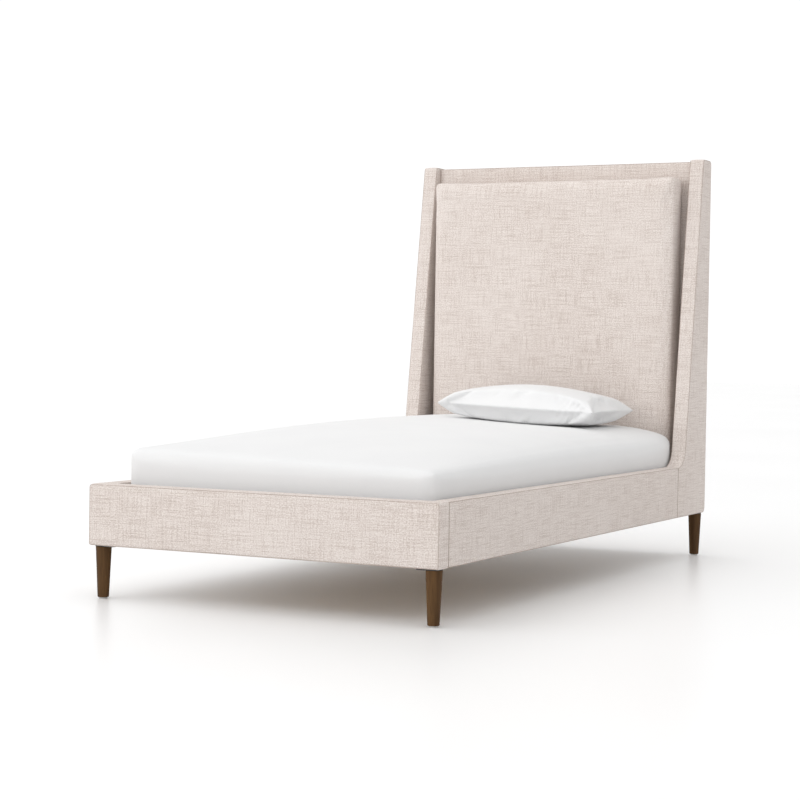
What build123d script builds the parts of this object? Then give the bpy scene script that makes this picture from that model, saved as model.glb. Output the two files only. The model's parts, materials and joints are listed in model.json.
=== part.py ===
from build123d import *
import os
from math import sqrt

# Twin bed, upholstered all over: a low padded frame on four tapered legs and a tall headboard whose
# two wings sweep down into the side rails, with a thick backrest cushion hung between the wings.
# Millimetres. X runs across the bed, +Y towards the headboard, +Z up, origin on the floor in the middle.

# ---------------------------------------------------------------- overall size
WIDTH = 1092
LENGTH = 2180
HEIGHT = 1397
RAIL_BOTTOM = 152
RAIL_TOP = 324
HALF_WIDTH = WIDTH / 2
FOOT_Y = -LENGTH / 2
HEAD_Y = LENGTH / 2
SIDES = (("left", -1), ("right", 1))

# ---------------------------------------------------------------- upholstery layers
FABRIC = 2
EDGE_FOAM = 8
EDGE_INSET = FABRIC + EDGE_FOAM
CLEARANCE = 0.5

# ---------------------------------------------------------------- side rails and wings
SIDE_THICKNESS = 52
SIDE_INNER_X = HALF_WIDTH - SIDE_THICKNESS
RAIL_BOARD_THICKNESS = 30
RAIL_TOP_ROUND = 14
RAIL_BOTTOM_ROUND = 8
WING_LENGTH = 296
WING_TOP_DEPTH = 84
WING_LEAN = 0.1365
WING_CURVE_RADIUS = 72
WING_FACE_FOAM = 10
WING_REAR_BOTTOM_ROUND = 20
WING_REAR_TOP_ROUND = 16
WING_FRONT_TOP_ROUND = 13
WING_EDGE_ROUND = 6
SEAM_Y = HEAD_Y - WING_LENGTH

# ---------------------------------------------------------------- footboard
FOOTBOARD_THICKNESS = 62
FOOTBOARD_REAR_Y = FOOT_Y + FOOTBOARD_THICKNESS
FOOTBOARD_FACE_FOAM = 12
FOOTBOARD_CORNER_ROUND = 12
FOOTBOARD_TOP_ROUND = 10
FOOTBOARD_BOTTOM_ROUND = 7

# ---------------------------------------------------------------- headboard between the wings
BACK_THICKNESS = 55
BACK_TOP = HEIGHT - 5
BACK_FOAM = 10
BACK_PANEL_THICKNESS = 9
BACK_TOP_ROUND = 12
BACK_FRONT_Y = HEAD_Y - BACK_THICKNESS
BACK_FRAME_Y = BACK_FRONT_Y + FABRIC + BACK_FOAM + BACK_PANEL_THICKNESS
BACK_REAR_Y = HEAD_Y - FABRIC
BACK_FRAME_TOP = BACK_TOP - EDGE_INSET
BACK_FRAME_BOTTOM = RAIL_BOTTOM + FABRIC
STILE_WIDTH = 70
TOP_RAIL_HEIGHT = 70
MIDDLE_RAIL_HEIGHT = 70
MIDDLE_RAIL_Z = 815
BOTTOM_RAIL_HEIGHT = 170

# ---------------------------------------------------------------- backrest cushion
CUSHION_HALF_WIDTH = 466
CUSHION_BOTTOM = 262
CUSHION_TOP = 1333
CUSHION_FRONT_Y = 914
CUSHION_GAP = 5
CUSHION_REAR_Y = BACK_FRONT_Y - CUSHION_GAP
CUSHION_SIDE_ROUND = 22
CUSHION_REAR_ROUND = 10
CUSHION_BOARD_THICKNESS = 12
CUSHION_BOARD_MARGIN = 20
CLIP_THICKNESS = 2
CLIP_WIDTH = 80
CLIP_BASE_HEIGHT = 26
CLIP_LIP = 15
CLIP_X = 300
CLIP_Z = (560, 1180)

# ---------------------------------------------------------------- slats and their ledgers
SLAT_COUNT = 12
SLAT_WIDTH = 90
SLAT_THICKNESS = 19
SLAT_TOP = 245
SLAT_HALF_LENGTH = 490
SLAT_ROUND = 3
FIRST_SLAT_Y = -945
LAST_SLAT_Y = 860
LEDGER_SIZE = 28
LEDGER_REAR_Y = 1000
TAPE_WIDTH = 25
TAPE_THICKNESS = 1
TAPE_X = 250

# ---------------------------------------------------------------- legs
LEG_TOP_RADIUS = 22.5
LEG_BOTTOM_RADIUS = 16
LEG_FOOT_ROUND = 3
LEG_INSET_X = 28
LEG_FRONT_INSET = 34
LEG_REAR_INSET = 26.5
LEG_PLATE_THICKNESS = 4
LEG_PLATE_LENGTH = 64
LEG_PLATE_WIDTH = 40
LEG_PLATE_SHIFT = 13.5
GLIDE_RADIUS = 12
GLIDE_HEIGHT = 4
GLIDE_PIN_RADIUS = 1.5
GLIDE_PIN_LENGTH = 14
LEG_X = HALF_WIDTH - LEG_INSET_X
LEG_TOP = RAIL_BOTTOM - LEG_PLATE_THICKNESS

# ---------------------------------------------------------------- fasteners
HANGER_RADIUS = 4
HANGER_ABOVE = 22
HANGER_BELOW = 40
PLATE_SCREW_RADIUS = 2
PLATE_SCREW_HEAD_RADIUS = 3.5
PLATE_SCREW_LENGTH = 30
PLATE_SCREW_X = 25
PLATE_SCREW_Y = 12
BOLT_RADIUS = 4
BOLT_HEAD_RADIUS = 7
BOLT_HEAD_HEIGHT = 5
BOLT_LENGTH = 32
WING_SCREW_RADIUS = 3.5
WING_SCREW_LENGTH = 70
WING_SCREW_Z = (220, 560, 950, 1330)
SLAT_SCREW_RADIUS = 2
SLAT_SCREW_HEAD_RADIUS = 4
SLAT_SCREW_LENGTH = 38
SLAT_SCREW_HEAD_HEIGHT = 3
BRACKET_THICKNESS = 4
BRACKET_HEIGHT = 36
BRACKET_ARM = 70
BRACKET_Z = 176
JOINING_PLATE_LENGTH = 140
JOINING_BOLT_NEAR = 22
JOINING_BOLT_FAR = 50
BRACKET_BOLT_NEAR = 26
BRACKET_BOLT_FAR = 50

# ---------------------------------------------------------------- bedding
MATTRESS_HALF_WIDTH = 486
MATTRESS_LENGTH = 1905
MATTRESS_FOOT_Y = -997
MATTRESS_TOP = 470
MATTRESS_CORNER_ROUND = 36
MATTRESS_TOP_ROUND = 32
MATTRESS_BOTTOM_ROUND = 30
SHEET_THICKNESS = 1.5
SHEET_HEM = 110
PILLOW_Y = 655
PILLOW_X = 70
PILLOW_LIFT = 1
PILLOW_RIM_Z = 540
PILLOW_TOP_Z = 604
PILLOWCASE_THICKNESS = 1.5
# Length, width and corner radius of the pillow's underside, its widest outline and its top.
PILLOW_UNDERSIDE = (440, 270, 110)
PILLOW_RIM = (580, 410, 60)
PILLOW_CROWN = (300, 150, 70)

os.makedirs("parts", exist_ok=True)


def save(piece, name):
    """Label a finished piece and write it to its own file."""
    piece.part.label = name
    export_step(piece.part, f"parts/{name}.step")


def bore(points, radius, length, rotation=(0, 0, 0)):
    """Cut a round hole centred on each point out of the part being built."""
    with Locations(*points):
        Cylinder(radius, length, rotation=rotation, mode=Mode.SUBTRACT)


def pins(points, radius, length, rotation=(0, 0, 0)):
    """Add a round pin centred on each point to the part being built."""
    with Locations(*points):
        Cylinder(radius, length, rotation=rotation)


# ---------------------------------------------------------------- fastener places
LEG_CENTRES = {
    f"{end}_{side}": (sign * LEG_X, y)
    for end, y in (("front", FOOT_Y + LEG_FRONT_INSET), ("rear", HEAD_Y - LEG_REAR_INSET))
    for side, sign in SIDES
}
PLATE_CENTRES = [
    (x - LEG_PLATE_SHIFT * (1 if x > 0 else -1), y) for x, y in LEG_CENTRES.values()
]
PLATE_SCREWS = [
    (x + dx, y + dy)
    for x, y in PLATE_CENTRES
    for dx in (-PLATE_SCREW_X, PLATE_SCREW_X)
    for dy in (-PLATE_SCREW_Y, PLATE_SCREW_Y)
]
BOLT_MIDDLE_X = SIDE_INNER_X - BRACKET_THICKNESS + BOLT_LENGTH / 2
BOLT_MIDDLE_Y = FOOTBOARD_REAR_Y + BRACKET_THICKNESS - BOLT_LENGTH / 2
RAIL_BOLT_Y = (
    FOOTBOARD_REAR_Y + BRACKET_BOLT_NEAR + BOLT_HEAD_HEIGHT,
    FOOTBOARD_REAR_Y + BRACKET_BOLT_FAR + BOLT_HEAD_HEIGHT,
    SEAM_Y - JOINING_BOLT_FAR,
    SEAM_Y - JOINING_BOLT_NEAR,
    SEAM_Y + JOINING_BOLT_NEAR,
    SEAM_Y + JOINING_BOLT_FAR,
)
RAIL_BOLTS = [(sign * BOLT_MIDDLE_X, y, BRACKET_Z) for _, sign in SIDES for y in RAIL_BOLT_Y]
FOOT_BOLTS = [
    (sign * (SIDE_INNER_X - reach), BOLT_MIDDLE_Y, BRACKET_Z)
    for _, sign in SIDES
    for reach in (BRACKET_BOLT_NEAR, BRACKET_BOLT_FAR)
]
WING_SCREW_OUTER_X = HALF_WIDTH - FABRIC - WING_FACE_FOAM
WING_SCREW_Y = (BACK_FRAME_Y + BACK_REAR_Y) / 2
WING_SCREWS = [
    (sign * (WING_SCREW_OUTER_X - WING_SCREW_LENGTH / 2), WING_SCREW_Y, z)
    for _, sign in SIDES
    for z in WING_SCREW_Z
]
SLAT_PITCH = (LAST_SLAT_Y - FIRST_SLAT_Y) / (SLAT_COUNT - 1)
SLAT_SCREW_X = SIDE_INNER_X - LEDGER_SIZE / 2
SLAT_SCREWS = [
    (sign * SLAT_SCREW_X, y) for _, sign in SIDES for y in (FIRST_SLAT_Y, LAST_SLAT_Y)
]


def bore_leg_fixings():
    """Cut the holes of all the leg plates' screws and hanger bolts out of the part being built."""
    screw_z = RAIL_BOTTOM + PLATE_SCREW_LENGTH / 2
    bore([(x, y, screw_z) for x, y in PLATE_SCREWS], PLATE_SCREW_RADIUS + CLEARANCE, PLATE_SCREW_LENGTH)
    hanger_z = RAIL_BOTTOM + HANGER_ABOVE / 2
    bore([(x, y, hanger_z) for x, y in LEG_CENTRES.values()], HANGER_RADIUS + CLEARANCE, HANGER_ABOVE)


def bore_rail_bolts():
    """Cut the holes of the bolts that run across the bed out of the part being built."""
    bore(RAIL_BOLTS, BOLT_RADIUS + CLEARANCE, BOLT_LENGTH, (0, 90, 0))


def bore_wing_screws():
    """Cut the holes of the screws that hold the wings out of the part being built."""
    bore(WING_SCREWS, WING_SCREW_RADIUS + CLEARANCE, WING_SCREW_LENGTH, (0, 90, 0))


# ---------------------------------------------------------------- wings
def wing_block(sign, edge_inset, face_inset, rounding):
    """A wing's whole shape, moved in at its edges and its two faces, but not where it meets the rail."""
    low_x = min(sign * HALF_WIDTH, sign * SIDE_INNER_X) + face_inset
    rear = HEAD_Y - edge_inset
    top = HEIGHT - edge_inset
    bottom = RAIL_BOTTOM + edge_inset
    shoulder = RAIL_TOP - edge_inset
    slant = edge_inset * sqrt(1 + WING_LEAN**2)
    front_base = HEAD_Y - WING_TOP_DEPTH - WING_LEAN * HEIGHT + slant
    corners = (
        (SEAM_Y, bottom),
        (rear, bottom),
        (rear, top),
        (front_base + WING_LEAN * top, top),
        (front_base + WING_LEAN * shoulder, shoulder),
        (SEAM_Y, shoulder),
    )
    radii = (
        WING_REAR_BOTTOM_ROUND - edge_inset,
        WING_REAR_TOP_ROUND - edge_inset,
        WING_FRONT_TOP_ROUND - edge_inset,
        WING_CURVE_RADIUS + edge_inset,
    )
    with BuildPart() as block:
        with BuildSketch(Plane.YZ.offset(low_x)):
            with BuildLine():
                FilletPolyline(*corners, radius=radii)
                Line(corners[-1], corners[0])
            make_face()
        extrude(amount=SIDE_THICKNESS - 2 * face_inset)
        if rounding:
            sides = block.faces().sort_by(Axis.X)
            rims = sides[0].edges() + sides[-1].edges()
            fillet(rims.filter_by(lambda edge: edge.center().Y > SEAM_Y + 1), rounding)
    return block.part


for side, sign in SIDES:
    core_block = wing_block(sign, EDGE_INSET, FABRIC + WING_FACE_FOAM, 0)
    foam_block = wing_block(sign, FABRIC, FABRIC, WING_EDGE_ROUND - FABRIC)
    cover_block = wing_block(sign, 0, 0, WING_EDGE_ROUND)

    with BuildPart() as wing_core:
        add(core_block)
        bore_leg_fixings()
        bore_rail_bolts()
        bore_wing_screws()
    save(wing_core, f"wing_core_{side}")

    with BuildPart() as wing_foam:
        add(foam_block)
        add(core_block, mode=Mode.SUBTRACT)
        bore_leg_fixings()
        bore_rail_bolts()
        bore_wing_screws()
    save(wing_foam, f"wing_foam_{side}")

    with BuildPart() as wing_cover:
        add(cover_block)
        add(foam_block, mode=Mode.SUBTRACT)
        bore_leg_fixings()
        bore_rail_bolts()
        bore_wing_screws()
    save(wing_cover, f"wing_cover_{side}")

with BuildPart() as wing_screws:
    pins(WING_SCREWS, WING_SCREW_RADIUS, WING_SCREW_LENGTH, (0, 90, 0))
save(wing_screws, "wing_screws")


# ---------------------------------------------------------------- side rails
def rail_block(sign, inset):
    """A side rail's whole shape, moved in by inset all round its section; its ends are square cut."""
    inner = sign * (SIDE_INNER_X + inset)
    outer = sign * (HALF_WIDTH - inset)
    bottom = RAIL_BOTTOM + inset
    top = RAIL_TOP - inset
    corners = ((inner, bottom), (outer, bottom), (outer, top), (inner, top))
    with BuildPart() as block:
        with BuildSketch(Plane.XZ.offset(-SEAM_Y)):
            with BuildLine():
                FilletPolyline(*corners, radius=(RAIL_BOTTOM_ROUND - inset, RAIL_TOP_ROUND - inset))
                Line(corners[-1], corners[0])
            make_face()
        extrude(amount=SEAM_Y - FOOTBOARD_REAR_Y)
    return block.part


for side, sign in SIDES:
    rail_foam_block = rail_block(sign, FABRIC)
    rail_cover_block = rail_block(sign, 0)
    board_x = sign * (SIDE_INNER_X + FABRIC + RAIL_BOARD_THICKNESS / 2)
    board_height = RAIL_TOP - RAIL_BOTTOM - 2 * EDGE_INSET

    with BuildPart() as rail_board:
        with BuildSketch(Plane.XZ.offset(-SEAM_Y)):
            with Locations((board_x, (RAIL_TOP + RAIL_BOTTOM) / 2)):
                Rectangle(RAIL_BOARD_THICKNESS, board_height)
        extrude(amount=SEAM_Y - FOOTBOARD_REAR_Y)
        rail_board_block = rail_board.part
        bore_rail_bolts()
    save(rail_board, f"side_rail_board_{side}")

    with BuildPart() as rail_foam:
        add(rail_foam_block)
        add(rail_board_block, mode=Mode.SUBTRACT)
    save(rail_foam, f"side_rail_foam_{side}")

    with BuildPart() as rail_cover:
        add(rail_cover_block)
        add(rail_foam_block, mode=Mode.SUBTRACT)
        bore_rail_bolts()
    save(rail_cover, f"side_rail_cover_{side}")


# ---------------------------------------------------------------- footboard
def footboard_block(inset):
    """The footboard's whole shape, moved in by inset all round, with square edges at its rear face."""
    front = FOOT_Y + inset
    rear = FOOTBOARD_REAR_Y - inset
    with BuildPart() as block:
        with BuildSketch(Plane.XY.offset(RAIL_BOTTOM + inset)):
            with Locations((0, (front + rear) / 2)):
                Rectangle(WIDTH - 2 * inset, rear - front)
        extrude(amount=RAIL_TOP - RAIL_BOTTOM - 2 * inset)
        fillet(block.edges().filter_by(Axis.Z).group_by(Axis.Y)[0], FOOTBOARD_CORNER_ROUND - inset)
        top_edges = block.faces().sort_by(Axis.Z)[-1].edges()
        fillet(top_edges.filter_by(lambda edge: edge.center().Y < rear - 1), FOOTBOARD_TOP_ROUND - inset)
        low_edges = block.faces().sort_by(Axis.Z)[0].edges()
        fillet(low_edges.filter_by(lambda edge: edge.center().Y < rear - 1), FOOTBOARD_BOTTOM_ROUND - inset)
    return block.part


foot_foam_block = footboard_block(FABRIC)
foot_cover_block = footboard_block(0)
foot_board_front = FOOT_Y + FABRIC + FOOTBOARD_FACE_FOAM
foot_board_rear = FOOTBOARD_REAR_Y - FABRIC

with BuildPart() as footboard_board:
    with BuildSketch(Plane.XY.offset(RAIL_BOTTOM + EDGE_INSET)):
        with Locations((0, (foot_board_front + foot_board_rear) / 2)):
            Rectangle(WIDTH - 2 * EDGE_INSET, foot_board_rear - foot_board_front)
    extrude(amount=RAIL_TOP - RAIL_BOTTOM - 2 * EDGE_INSET)
    foot_board_block = footboard_board.part
    bore_leg_fixings()
    bore(FOOT_BOLTS, BOLT_RADIUS + CLEARANCE, BOLT_LENGTH, (90, 0, 0))
save(footboard_board, "footboard_board")

with BuildPart() as footboard_foam:
    add(foot_foam_block)
    add(foot_board_block, mode=Mode.SUBTRACT)
    bore_leg_fixings()
save(footboard_foam, "footboard_foam")

with BuildPart() as footboard_cover:
    add(foot_cover_block)
    add(foot_foam_block, mode=Mode.SUBTRACT)
    bore_leg_fixings()
    bore(FOOT_BOLTS, BOLT_RADIUS + CLEARANCE, BOLT_LENGTH, (90, 0, 0))
save(footboard_cover, "footboard_cover")

# ---------------------------------------------------------------- headboard frame
FRAME_DEPTH = BACK_REAR_Y - BACK_FRAME_Y
FRAME_MIDDLE_Y = (BACK_REAR_Y + BACK_FRAME_Y) / 2
RAIL_SPAN = 2 * (SIDE_INNER_X - STILE_WIDTH)

for side, sign in SIDES:
    with BuildPart() as stile:
        with BuildSketch(Plane.XY.offset(BACK_FRAME_BOTTOM)):
            with Locations((sign * (SIDE_INNER_X - STILE_WIDTH / 2), FRAME_MIDDLE_Y)):
                Rectangle(STILE_WIDTH, FRAME_DEPTH)
        extrude(amount=BACK_FRAME_TOP - BACK_FRAME_BOTTOM)
        bore_leg_fixings()
        bore_wing_screws()
    save(stile, f"headboard_stile_{side}")

CROSS_RAILS = (
    ("top", BACK_FRAME_TOP - TOP_RAIL_HEIGHT, TOP_RAIL_HEIGHT),
    ("middle", MIDDLE_RAIL_Z - MIDDLE_RAIL_HEIGHT / 2, MIDDLE_RAIL_HEIGHT),
    ("bottom", BACK_FRAME_BOTTOM, BOTTOM_RAIL_HEIGHT),
)
for place, low_z, height in CROSS_RAILS:
    with BuildPart() as cross_rail:
        with BuildSketch(Plane.XY.offset(low_z)):
            with Locations((0, FRAME_MIDDLE_Y)):
                Rectangle(RAIL_SPAN, FRAME_DEPTH)
        extrude(amount=height)
    save(cross_rail, f"headboard_{place}_rail")

with BuildPart() as headboard_panel:
    with BuildSketch(Plane.XY.offset(BACK_FRAME_BOTTOM)):
        with Locations((0, BACK_FRAME_Y - BACK_PANEL_THICKNESS / 2)):
            Rectangle(2 * SIDE_INNER_X, BACK_PANEL_THICKNESS)
    extrude(amount=BACK_FRAME_TOP - BACK_FRAME_BOTTOM)
    bore_leg_fixings()
save(headboard_panel, "headboard_panel")


# ---------------------------------------------------------------- headboard upholstery
def back_block(inset):
    """The headboard's whole shape between the wings, moved in by inset at its front, top and bottom."""
    front = BACK_FRONT_Y + inset
    bottom = RAIL_BOTTOM + inset
    top = BACK_TOP - inset
    corners = ((BACK_REAR_Y, top), (front, top), (front, bottom))
    with BuildPart() as block:
        with BuildSketch(Plane.YZ.offset(-SIDE_INNER_X)):
            with BuildLine():
                FilletPolyline(*corners, radius=BACK_TOP_ROUND - inset)
                Polyline(corners[-1], (BACK_REAR_Y, bottom), corners[0])
            make_face()
        extrude(amount=2 * SIDE_INNER_X)
    return block.part


back_foam_block = back_block(FABRIC)
back_cover_block = back_block(0)
woodwork_front = BACK_FRAME_Y - BACK_PANEL_THICKNESS
with BuildPart() as woodwork:
    with BuildSketch(Plane.XY.offset(BACK_FRAME_BOTTOM)):
        with Locations((0, (woodwork_front + BACK_REAR_Y) / 2)):
            Rectangle(2 * SIDE_INNER_X, BACK_REAR_Y - woodwork_front)
    extrude(amount=BACK_FRAME_TOP - BACK_FRAME_BOTTOM)

with BuildPart() as headboard_foam:
    add(back_foam_block)
    add(woodwork.part, mode=Mode.SUBTRACT)
save(headboard_foam, "headboard_foam")

with BuildPart() as headboard_cover:
    add(back_cover_block)
    add(back_foam_block, mode=Mode.SUBTRACT)
    bore_leg_fixings()
save(headboard_cover, "headboard_cover")

with BuildPart() as headboard_rear_cover:
    with BuildSketch(Plane.XY.offset(RAIL_BOTTOM)):
        with Locations((0, HEAD_Y - FABRIC / 2)):
            Rectangle(2 * SIDE_INNER_X, FABRIC)
    extrude(amount=BACK_TOP - RAIL_BOTTOM)
save(headboard_rear_cover, "headboard_rear_cover")


# ---------------------------------------------------------------- backrest cushion
def cushion_block(inset):
    """The cushion's whole shape, moved in by inset all round, rounder at the front than at the rear."""
    front = CUSHION_FRONT_Y + inset
    rear = CUSHION_REAR_Y - inset
    with BuildPart() as block:
        with BuildSketch(Plane.XZ.offset(-rear)):
            with Locations((0, (CUSHION_TOP + CUSHION_BOTTOM) / 2)):
                RectangleRounded(
                    2 * (CUSHION_HALF_WIDTH - inset),
                    CUSHION_TOP - CUSHION_BOTTOM - 2 * inset,
                    CUSHION_SIDE_ROUND + 2 - inset,
                )
        extrude(amount=rear - front)
        fillet(block.faces().sort_by(Axis.Y)[0].edges(), CUSHION_SIDE_ROUND - inset)
        fillet(block.faces().sort_by(Axis.Y)[-1].edges(), CUSHION_REAR_ROUND - inset)
    return block.part


cushion_foam_block = cushion_block(FABRIC)
cushion_cover_block = cushion_block(0)
board_rear = CUSHION_REAR_Y - FABRIC

with BuildPart() as cushion_board:
    with BuildSketch(Plane.XZ.offset(-board_rear)):
        with Locations((0, (CUSHION_TOP + CUSHION_BOTTOM) / 2)):
            Rectangle(
                2 * (CUSHION_HALF_WIDTH - CUSHION_BOARD_MARGIN),
                CUSHION_TOP - CUSHION_BOTTOM - 2 * CUSHION_BOARD_MARGIN,
            )
    extrude(amount=CUSHION_BOARD_THICKNESS)
save(cushion_board, "cushion_board")

with BuildPart() as cushion_foam:
    add(cushion_foam_block)
    add(cushion_board.part, mode=Mode.SUBTRACT)
save(cushion_foam, "cushion_foam")

with BuildPart() as cushion_cover:
    add(cushion_cover_block)
    add(cushion_foam_block, mode=Mode.SUBTRACT)
save(cushion_cover, "cushion_cover")

# Pairs of Z-shaped clips hang the cushion: each clip's lip stands off its base and drops behind the other's.
CLIP_PLAY = (CUSHION_GAP - 2 * CLIP_THICKNESS) * 0.4
CLIP_ENDS = 1
base_face = BACK_FRONT_Y - CLIP_THICKNESS
lip_rear = CUSHION_REAR_Y + CLIP_PLAY + CLIP_THICKNESS
lip_front = CUSHION_REAR_Y + CLIP_PLAY
CLIP_MIDDLE_Y = (BACK_FRONT_Y + CUSHION_REAR_Y) / 2
with BuildPart() as cushion_clips:
    for clip_z in CLIP_Z:
        for clip_x in (-CLIP_X, CLIP_X):
            web_top = clip_z - CLIP_LIP / 2 - CLIP_ENDS
            outline = (
                (BACK_FRONT_Y, web_top - CLIP_BASE_HEIGHT),
                (BACK_FRONT_Y, web_top),
                (lip_rear, web_top),
                (lip_rear, clip_z + CLIP_LIP / 2),
                (lip_front, clip_z + CLIP_LIP / 2),
                (lip_front, web_top - CLIP_THICKNESS),
                (base_face, web_top - CLIP_THICKNESS),
                (base_face, web_top - CLIP_BASE_HEIGHT),
            )
            turned = [(2 * CLIP_MIDDLE_Y - y, 2 * clip_z - z) for y, z in outline]
            for points in (outline, turned):
                with BuildSketch(Plane.YZ.offset(clip_x - CLIP_WIDTH / 2)):
                    with BuildLine():
                        Polyline(*points, close=True)
                    make_face()
                extrude(amount=CLIP_WIDTH)
save(cushion_clips, "cushion_clips")

# ---------------------------------------------------------------- slats, ledgers and tapes
LEDGER_TOP = SLAT_TOP - SLAT_THICKNESS
LEDGER_FRONT_Y = FOOTBOARD_REAR_Y + CLEARANCE

for side, sign in SIDES:
    with BuildPart() as ledger:
        with BuildSketch(Plane.XZ.offset(-LEDGER_REAR_Y)):
            with Locations((sign * (SIDE_INNER_X - LEDGER_SIZE / 2), LEDGER_TOP - LEDGER_SIZE / 2)):
                Rectangle(LEDGER_SIZE, LEDGER_SIZE)
        extrude(amount=LEDGER_REAR_Y - LEDGER_FRONT_Y)
        bore(
            [(x, y, SLAT_TOP - SLAT_SCREW_LENGTH / 2) for x, y in SLAT_SCREWS],
            SLAT_SCREW_RADIUS + CLEARANCE,
            SLAT_SCREW_LENGTH,
        )
    save(ledger, f"slat_ledger_{side}")

for number in range(SLAT_COUNT):
    slat_y = FIRST_SLAT_Y + number * SLAT_PITCH
    with BuildPart() as slat:
        with BuildSketch(Plane.XY.offset(LEDGER_TOP)):
            with Locations((0, slat_y)):
                Rectangle(2 * SLAT_HALF_LENGTH, SLAT_WIDTH)
        extrude(amount=SLAT_THICKNESS)
        fillet(slat.edges().filter_by(Axis.X), SLAT_ROUND)
        if number in (0, SLAT_COUNT - 1):
            bore(
                [(x, y, SLAT_TOP - SLAT_THICKNESS / 2) for x, y in SLAT_SCREWS],
                SLAT_SCREW_RADIUS + CLEARANCE,
                SLAT_THICKNESS,
            )
            bore(
                [(x, y, SLAT_TOP - SLAT_SCREW_HEAD_HEIGHT / 2) for x, y in SLAT_SCREWS],
                SLAT_SCREW_HEAD_RADIUS + CLEARANCE,
                SLAT_SCREW_HEAD_HEIGHT,
            )
    save(slat, f"slat_{number + 1:02d}")

with BuildPart() as slat_screws:
    pins(
        [(x, y, SLAT_TOP - SLAT_SCREW_LENGTH / 2) for x, y in SLAT_SCREWS],
        SLAT_SCREW_RADIUS,
        SLAT_SCREW_LENGTH,
    )
    pins(
        [(x, y, SLAT_TOP - SLAT_SCREW_HEAD_HEIGHT / 2) for x, y in SLAT_SCREWS],
        SLAT_SCREW_HEAD_RADIUS,
        SLAT_SCREW_HEAD_HEIGHT,
    )
save(slat_screws, "slat_screws")

with BuildPart() as slat_tapes:
    with BuildSketch(Plane.XY.offset(LEDGER_TOP - TAPE_THICKNESS)):
        with Locations(*[(x, (FIRST_SLAT_Y + LAST_SLAT_Y) / 2) for x in (-TAPE_X, TAPE_X)]):
            Rectangle(TAPE_WIDTH, LAST_SLAT_Y - FIRST_SLAT_Y + SLAT_WIDTH / 2)
    extrude(amount=TAPE_THICKNESS)
save(slat_tapes, "slat_tapes")

# ---------------------------------------------------------------- rail fittings
bracket_floor = Plane.XY.offset(BRACKET_Z - BRACKET_HEIGHT / 2)
with BuildPart() as corner_brackets:
    for _, sign in SIDES:
        corner_x = sign * SIDE_INNER_X
        with BuildSketch(bracket_floor):
            with BuildLine():
                Polyline(
                    (corner_x, FOOTBOARD_REAR_Y),
                    (corner_x, FOOTBOARD_REAR_Y + BRACKET_ARM),
                    (corner_x - sign * BRACKET_THICKNESS, FOOTBOARD_REAR_Y + BRACKET_ARM),
                    (corner_x - sign * BRACKET_THICKNESS, FOOTBOARD_REAR_Y + BRACKET_THICKNESS),
                    (corner_x - sign * BRACKET_ARM, FOOTBOARD_REAR_Y + BRACKET_THICKNESS),
                    (corner_x - sign * BRACKET_ARM, FOOTBOARD_REAR_Y),
                    close=True,
                )
            make_face()
        extrude(amount=BRACKET_HEIGHT)
    bore(FOOT_BOLTS, BOLT_RADIUS + CLEARANCE, BOLT_LENGTH, (90, 0, 0))
    bore_rail_bolts()
save(corner_brackets, "corner_brackets")

with BuildPart() as joining_plates:
    with BuildSketch(bracket_floor):
        with Locations(*[(sign * (SIDE_INNER_X - BRACKET_THICKNESS / 2), SEAM_Y) for _, sign in SIDES]):
            Rectangle(BRACKET_THICKNESS, JOINING_PLATE_LENGTH)
    extrude(amount=BRACKET_HEIGHT)
    bore_rail_bolts()
save(joining_plates, "joining_plates")

HEAD_MIDDLE_X = SIDE_INNER_X - BRACKET_THICKNESS - BOLT_HEAD_HEIGHT / 2
HEAD_MIDDLE_Y = FOOTBOARD_REAR_Y + BRACKET_THICKNESS + BOLT_HEAD_HEIGHT / 2
with BuildPart() as bracket_bolts:
    pins(RAIL_BOLTS, BOLT_RADIUS, BOLT_LENGTH, (0, 90, 0))
    pins(
        [(sign * HEAD_MIDDLE_X, y, BRACKET_Z) for _, sign in SIDES for y in RAIL_BOLT_Y],
        BOLT_HEAD_RADIUS,
        BOLT_HEAD_HEIGHT,
        (0, 90, 0),
    )
    pins(FOOT_BOLTS, BOLT_RADIUS, BOLT_LENGTH, (90, 0, 0))
    pins(
        [(x, HEAD_MIDDLE_Y, z) for x, _, z in FOOT_BOLTS],
        BOLT_HEAD_RADIUS,
        BOLT_HEAD_HEIGHT,
        (90, 0, 0),
    )
save(bracket_bolts, "bracket_bolts")

# ---------------------------------------------------------------- legs, plates and glides
hanger_length = HANGER_ABOVE + LEG_PLATE_THICKNESS + HANGER_BELOW
hanger_middle_z = LEG_TOP - HANGER_BELOW + hanger_length / 2
leg_height = LEG_TOP - GLIDE_HEIGHT

for corner, (leg_x, leg_y) in LEG_CENTRES.items():
    with BuildPart() as leg:
        with Locations((leg_x, leg_y, GLIDE_HEIGHT + leg_height / 2)):
            Cone(LEG_BOTTOM_RADIUS, LEG_TOP_RADIUS, leg_height)
        fillet(leg.edges().filter_by(GeomType.CIRCLE).sort_by(Axis.Z)[0], LEG_FOOT_ROUND)
        bore([(leg_x, leg_y, hanger_middle_z)], HANGER_RADIUS + CLEARANCE, hanger_length)
        bore(
            [(leg_x, leg_y, GLIDE_HEIGHT + GLIDE_PIN_LENGTH / 2)],
            GLIDE_PIN_RADIUS + CLEARANCE,
            GLIDE_PIN_LENGTH,
        )
    save(leg, f"leg_{corner}")

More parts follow.
